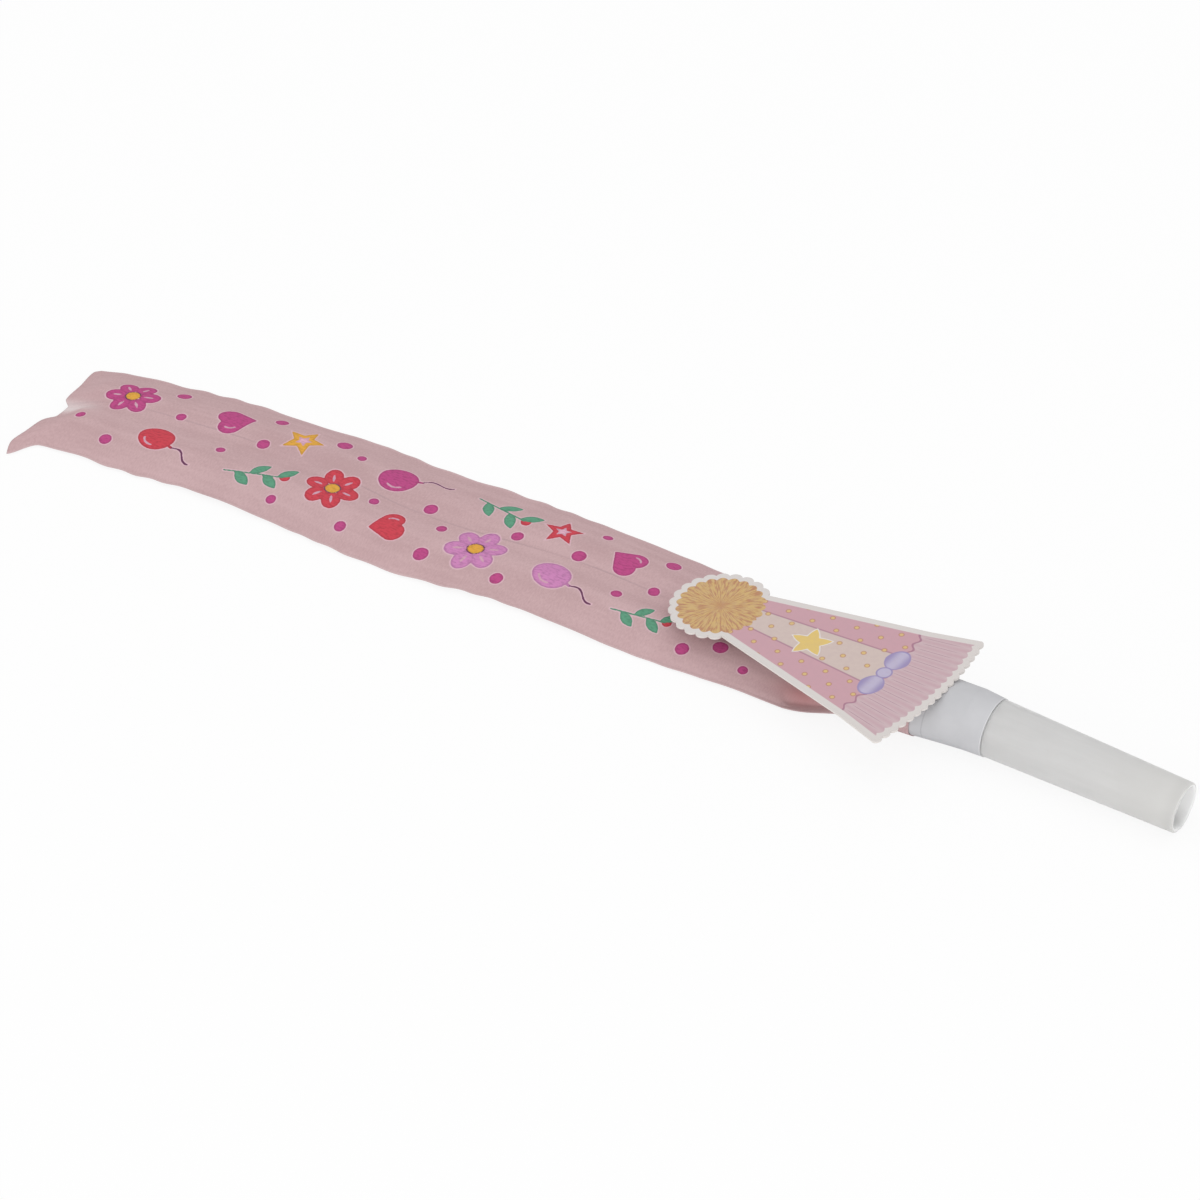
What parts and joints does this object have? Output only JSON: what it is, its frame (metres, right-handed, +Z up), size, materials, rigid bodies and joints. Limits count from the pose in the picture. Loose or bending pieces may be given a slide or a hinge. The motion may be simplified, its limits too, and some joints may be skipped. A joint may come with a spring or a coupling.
{
  "type": "party horn blower",
  "caption": "Party blower: tapered mouthpiece with a reed, paper collar, flat printed paper sleeve that rolls up into a coil, and a die-cut party-hat card glued over the neck.",
  "frame": {"origin": "on the table, under the middle of the flat fixed length of the sleeve, between the neck and the first fold of the roll", "axes": "+X towards the mouthpiece along the blower, +Z up out of the printed face, +Y across the sleeve"},
  "size_m": [0.2881, 0.0415, 0.014],
  "materials": {
    "frosted_plastic": "frosted, translucent white",
    "collar_paper": "matt, cool white",
    "sleeve_paper": "soft matt, printed",
    "printed_card": "printed, satin, white border",
    "strip_plastic": "satin film",
    "reed_plastic": "moulded, satin",
    "glue": "set hot glue, satin"
  },
  "bodies": {
    "horn": {"mouthpiece": "frosted_plastic", "collar": "collar_paper", "reed_body": "reed_plastic", "reed_clip": "reed_plastic", "sleeve_base": "sleeve_paper", "curl_strip_base": "strip_plastic", "topper_card": "printed_card", "glue_pad": "glue"},
    "reed": {"reed_tongue": "reed_plastic"},
    "sleeve_01": {"sleeve_segment_01": "sleeve_paper", "curl_strip_01": "strip_plastic"},
    "sleeve_02": {"sleeve_segment_02": "sleeve_paper", "curl_strip_02": "strip_plastic"},
    "sleeve_03": {"sleeve_segment_03": "sleeve_paper", "curl_strip_03": "strip_plastic"},
    "sleeve_04": {"sleeve_segment_04": "sleeve_paper", "curl_strip_04": "strip_plastic"},
    "sleeve_05": {"sleeve_segment_05": "sleeve_paper", "curl_strip_05": "strip_plastic"},
    "sleeve_06": {"sleeve_segment_06": "sleeve_paper", "curl_strip_06": "strip_plastic"},
    "sleeve_07": {"sleeve_segment_07": "sleeve_paper", "curl_strip_07": "strip_plastic"},
    "sleeve_08": {"sleeve_segment_08": "sleeve_paper", "curl_strip_08": "strip_plastic"},
    "sleeve_09": {"sleeve_segment_09": "sleeve_paper", "curl_strip_09": "strip_plastic"},
    "sleeve_10": {"sleeve_segment_10": "sleeve_paper", "curl_strip_10": "strip_plastic"},
    "sleeve_11": {"sleeve_segment_11": "sleeve_paper", "curl_strip_11": "strip_plastic"},
    "sleeve_12": {"sleeve_segment_12": "sleeve_paper", "curl_strip_12": "strip_plastic"},
    "sleeve_13": {"sleeve_segment_13": "sleeve_paper", "curl_strip_13": "strip_plastic"},
    "sleeve_14": {"sleeve_segment_14": "sleeve_paper", "curl_strip_14": "strip_plastic"},
    "sleeve_15": {"sleeve_segment_15": "sleeve_paper", "curl_strip_15": "strip_plastic"},
    "sleeve_16": {"sleeve_segment_16": "sleeve_paper", "curl_strip_16": "strip_plastic"},
    "sleeve_17": {"sleeve_segment_17": "sleeve_paper", "curl_strip_17": "strip_plastic"},
    "sleeve_18": {"sleeve_segment_18": "sleeve_paper", "curl_strip_18": "strip_plastic"},
    "sleeve_19": {"sleeve_segment_19": "sleeve_paper", "curl_strip_19": "strip_plastic"},
    "sleeve_20": {"sleeve_tip": "sleeve_paper"}
  },
  "joints": [
    {"name": "curl_01", "type": "hinge", "parent": "horn", "child": "sleeve_01", "pos_m": [-0.0296, 0, 0.0036], "axis": [0, 1, 0], "range_deg": [0, 12.69]},
    {"name": "curl_02", "type": "hinge", "parent": "sleeve_01", "child": "sleeve_02", "pos_m": [-0.0364, 0, 0.0036], "axis": [0, 1, 0], "range_deg": [0, 25.65]},
    {"name": "curl_03", "type": "hinge", "parent": "sleeve_02", "child": "sleeve_03", "pos_m": [-0.0432, 0, 0.0036], "axis": [0, 1, 0], "range_deg": [0, 26.24]},
    {"name": "curl_04", "type": "hinge", "parent": "sleeve_03", "child": "sleeve_04", "pos_m": [-0.05, 0, 0.0036], "axis": [0, 1, 0], "range_deg": [0, 26.88]},
    {"name": "curl_05", "type": "hinge", "parent": "sleeve_04", "child": "sleeve_05", "pos_m": [-0.0568, 0, 0.0036], "axis": [0, 1, 0], "range_deg": [0, 27.57]},
    {"name": "curl_06", "type": "hinge", "parent": "sleeve_05", "child": "sleeve_06", "pos_m": [-0.0636, 0, 0.0036], "axis": [0, 1, 0], "range_deg": [0, 28.31]},
    {"name": "curl_07", "type": "hinge", "parent": "sleeve_06", "child": "sleeve_07", "pos_m": [-0.0704, 0, 0.0036], "axis": [0, 1, 0], "range_deg": [0, 29.11]},
    {"name": "curl_08", "type": "hinge", "parent": "sleeve_07", "child": "sleeve_08", "pos_m": [-0.0772, 0, 0.0036], "axis": [0, 1, 0], "range_deg": [0, 29.99]},
    {"name": "curl_09", "type": "hinge", "parent": "sleeve_08", "child": "sleeve_09", "pos_m": [-0.084, 0, 0.0036], "axis": [0, 1, 0], "range_deg": [0, 30.95]},
    {"name": "curl_10", "type": "hinge", "parent": "sleeve_09", "child": "sleeve_10", "pos_m": [-0.0908, 0, 0.0036], "axis": [0, 1, 0], "range_deg": [0, 32.02]},
    {"name": "curl_11", "type": "hinge", "parent": "sleeve_10", "child": "sleeve_11", "pos_m": [-0.0976, 0, 0.0036], "axis": [0, 1, 0], "range_deg": [0, 33.2]},
    {"name": "curl_12", "type": "hinge", "parent": "sleeve_11", "child": "sleeve_12", "pos_m": [-0.1044, 0, 0.0036], "axis": [0, 1, 0], "range_deg": [0, 34.51]},
    {"name": "curl_13", "type": "hinge", "parent": "sleeve_12", "child": "sleeve_13", "pos_m": [-0.1112, 0, 0.0036], "axis": [0, 1, 0], "range_deg": [0, 36]},
    {"name": "curl_14", "type": "hinge", "parent": "sleeve_13", "child": "sleeve_14", "pos_m": [-0.118, 0, 0.0036], "axis": [0, 1, 0], "range_deg": [0, 37.7]},
    {"name": "curl_15", "type": "hinge", "parent": "sleeve_14", "child": "sleeve_15", "pos_m": [-0.1248, 0, 0.0036], "axis": [0, 1, 0], "range_deg": [0, 39.67]},
    {"name": "curl_16", "type": "hinge", "parent": "sleeve_15", "child": "sleeve_16", "pos_m": [-0.1316, 0, 0.0036], "axis": [0, 1, 0], "range_deg": [0, 41.97]},
    {"name": "curl_17", "type": "hinge", "parent": "sleeve_16", "child": "sleeve_17", "pos_m": [-0.1384, 0, 0.0036], "axis": [0, 1, 0], "range_deg": [0, 44.73]},
    {"name": "curl_18", "type": "hinge", "parent": "sleeve_17", "child": "sleeve_18", "pos_m": [-0.1452, 0, 0.0036], "axis": [0, 1, 0], "range_deg": [0, 48.13]},
    {"name": "curl_19", "type": "hinge", "parent": "sleeve_18", "child": "sleeve_19", "pos_m": [-0.152, 0, 0.0036], "axis": [0, 1, 0], "range_deg": [0, 52.42]},
    {"name": "sleeve_curl", "type": "hinge", "parent": "sleeve_19", "child": "sleeve_20", "pos_m": [-0.1588, 0, 0.0036], "axis": [0, 1, 0], "range_deg": [0, 58.1]},
    {"name": "reed_flex", "type": "hinge", "parent": "horn", "child": "reed", "pos_m": [0.0831, 0, 0.00687], "axis": [0, 1, 0], "range_deg": [0, 3.5], "stiffness_Nm_per_rad": 0.0001}
  ],
  "couplings": [
    {"joint": "curl_01", "follows": "sleeve_curl", "ratio": 0.2181},
    {"joint": "curl_02", "follows": "sleeve_curl", "ratio": 0.4411},
    {"joint": "curl_03", "follows": "sleeve_curl", "ratio": 0.4513},
    {"joint": "curl_04", "follows": "sleeve_curl", "ratio": 0.4623},
    {"joint": "curl_05", "follows": "sleeve_curl", "ratio": 0.4741},
    {"joint": "curl_06", "follows": "sleeve_curl", "ratio": 0.4869},
    {"joint": "curl_07", "follows": "sleeve_curl", "ratio": 0.5007},
    {"joint": "curl_08", "follows": "sleeve_curl", "ratio": 0.5158},
    {"joint": "curl_09", "follows": "sleeve_curl", "ratio": 0.5324},
    {"joint": "curl_10", "follows": "sleeve_curl", "ratio": 0.5507},
    {"joint": "curl_11", "follows": "sleeve_curl", "ratio": 0.571},
    {"joint": "curl_12", "follows": "sleeve_curl", "ratio": 0.5937},
    {"joint": "curl_13", "follows": "sleeve_curl", "ratio": 0.6193},
    {"joint": "curl_14", "follows": "sleeve_curl", "ratio": 0.6485},
    {"joint": "curl_15", "follows": "sleeve_curl", "ratio": 0.6824},
    {"joint": "curl_16", "follows": "sleeve_curl", "ratio": 0.7221},
    {"joint": "curl_17", "follows": "sleeve_curl", "ratio": 0.7696},
    {"joint": "curl_18", "follows": "sleeve_curl", "ratio": 0.828},
    {"joint": "curl_19", "follows": "sleeve_curl", "ratio": 0.9019}
  ]
}
